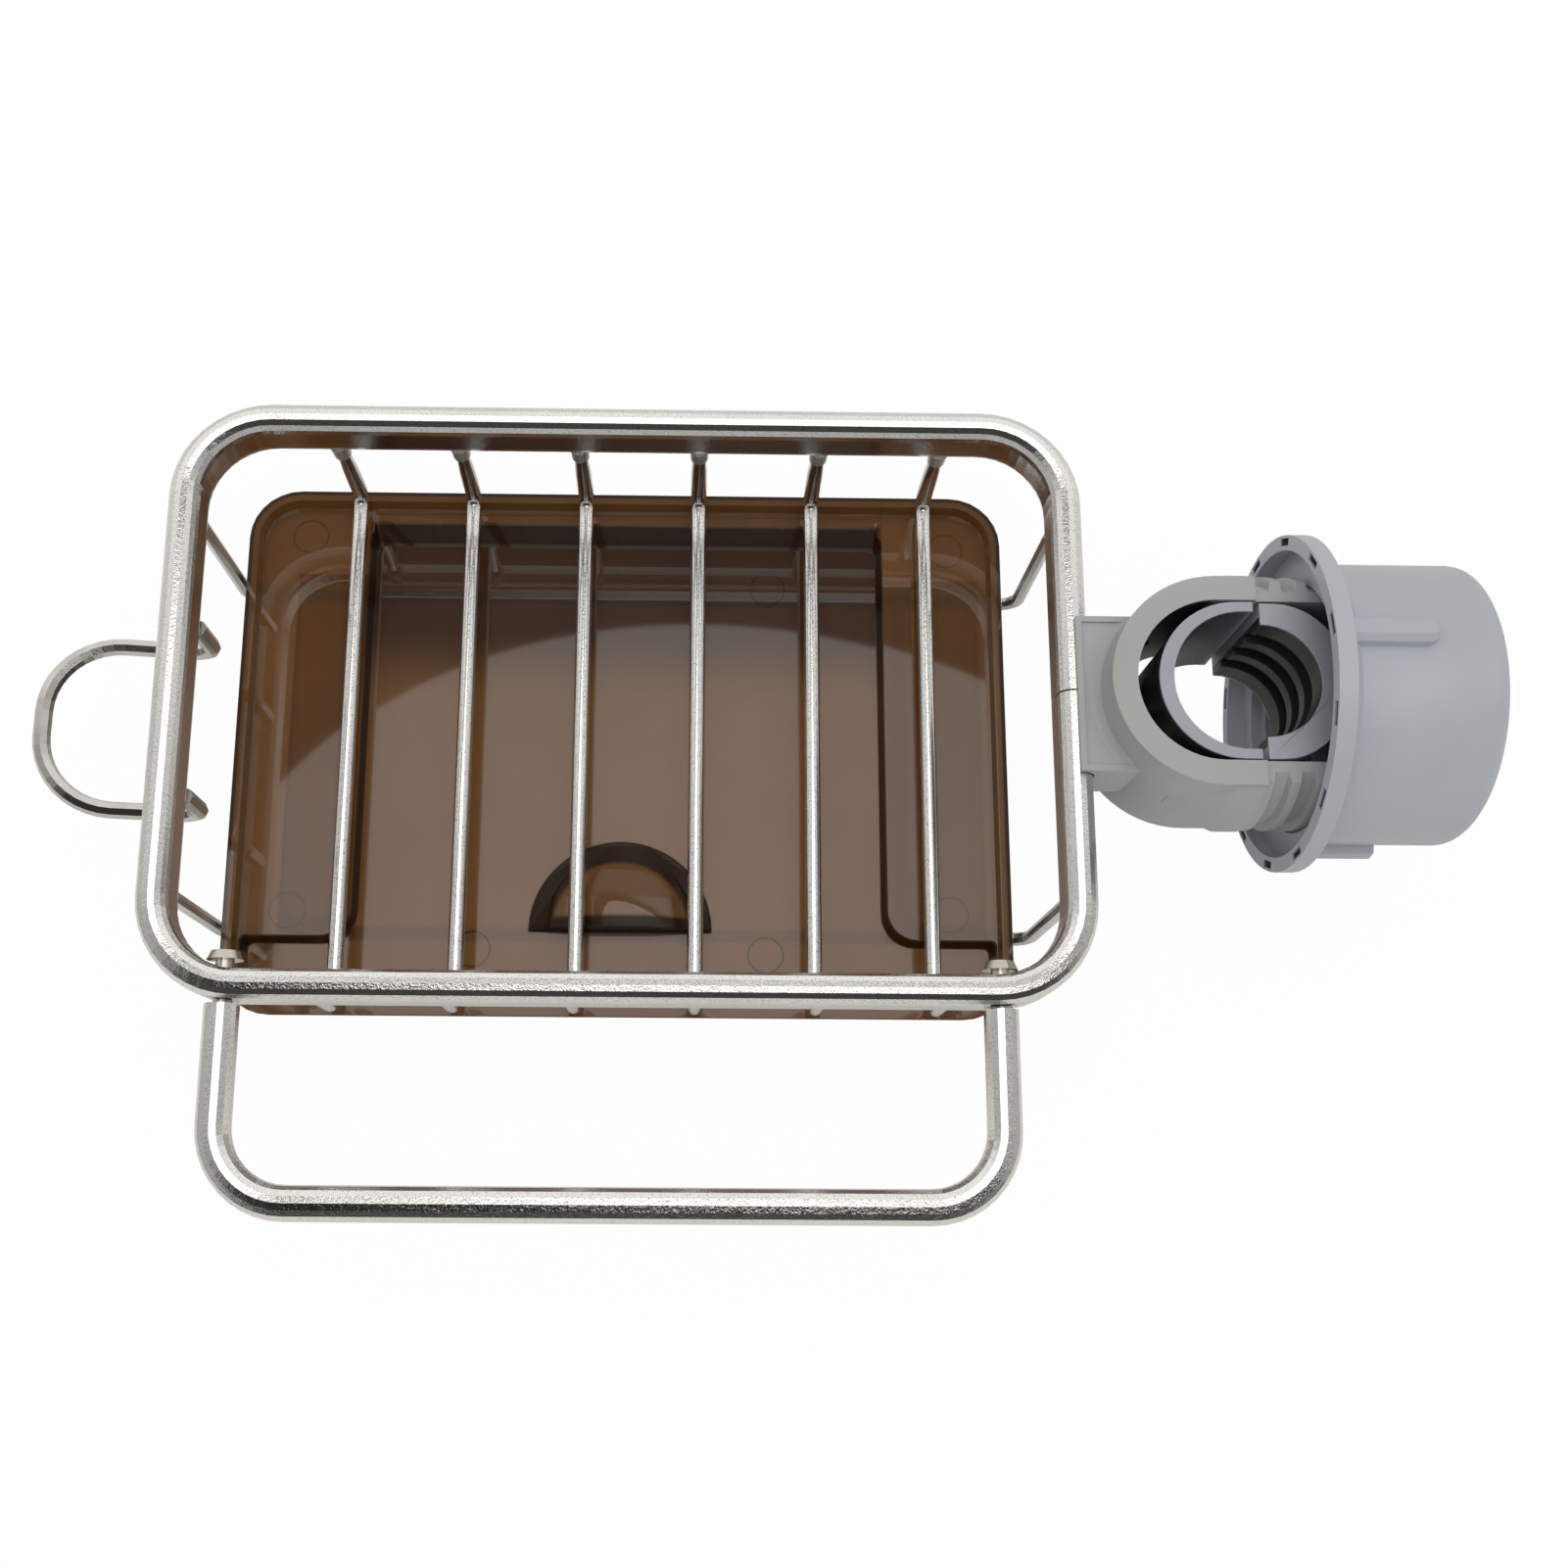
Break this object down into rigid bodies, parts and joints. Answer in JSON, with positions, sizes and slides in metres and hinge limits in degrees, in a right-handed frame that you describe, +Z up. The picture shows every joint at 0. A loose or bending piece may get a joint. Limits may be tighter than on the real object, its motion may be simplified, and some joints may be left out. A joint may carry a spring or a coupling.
{
  "type": "faucet caddy",
  "caption": "Wire basket held on a faucet pipe by a screw clamp, with a slide-out drip tray, a side brush hook and a front towel bar.",
  "frame": {"origin": "on the pipe's axis, halfway up the clamp", "axes": "+Z up along the faucet pipe, +X from the basket towards the clamp nut, -Y towards the towel bar in front"},
  "size_m": [0.2547, 0.1445, 0.0715],
  "materials": {
    "satin_steel": "bead-blasted satin stainless steel, warm silver",
    "bright_steel": "smooth bright stainless steel",
    "smoked_plastic": "translucent tea-brown plastic, glossy",
    "clamp_grey": "satin mid-grey moulded plastic",
    "saddle_grey": "satin grey moulded plastic, darker in the grooves"
  },
  "bodies": {
    "frame": {"rim_frame": "satin_steel", "cross_wire_1": "satin_steel", "cross_wire_2": "satin_steel", "cross_wire_3": "satin_steel", "cross_wire_4": "satin_steel", "cross_wire_5": "satin_steel", "cross_wire_6": "satin_steel", "tray_rail_back": "satin_steel", "tray_rail_front": "satin_steel", "brush_hook": "bright_steel", "towel_bar": "satin_steel", "towel_bar_screw_left": "bright_steel", "towel_bar_screw_right": "bright_steel", "clamp_screw_front": "bright_steel", "clamp_screw_back": "bright_steel", "clamp_body": "clamp_grey", "fixed_half_sleeve": "clamp_grey"},
    "tray": {"drip_tray": "smoked_plastic"},
    "saddle": {"pressing_half_sleeve": "saddle_grey"},
    "nut": {"clamp_nut": "clamp_grey"}
  },
  "joints": [
    {"name": "tray_slide", "type": "slide", "parent": "frame", "child": "tray", "axis": [0, -1, 0], "range_m": [0, 0.11]},
    {"name": "saddle_travel", "type": "slide", "parent": "frame", "child": "saddle", "axis": [1, 0, 0], "range_m": [-0.0009, 0.0057]},
    {"name": "nut_turn", "type": "hinge", "parent": "saddle", "child": "nut", "pos_m": [0.025, 0, 0], "axis": [1, 0, 0], "range_deg": [-70, 450]}
  ],
  "couplings": [
    {"joint": "saddle_travel", "follows": "nut_turn", "m_per_rad": 0.0007162}
  ]
}
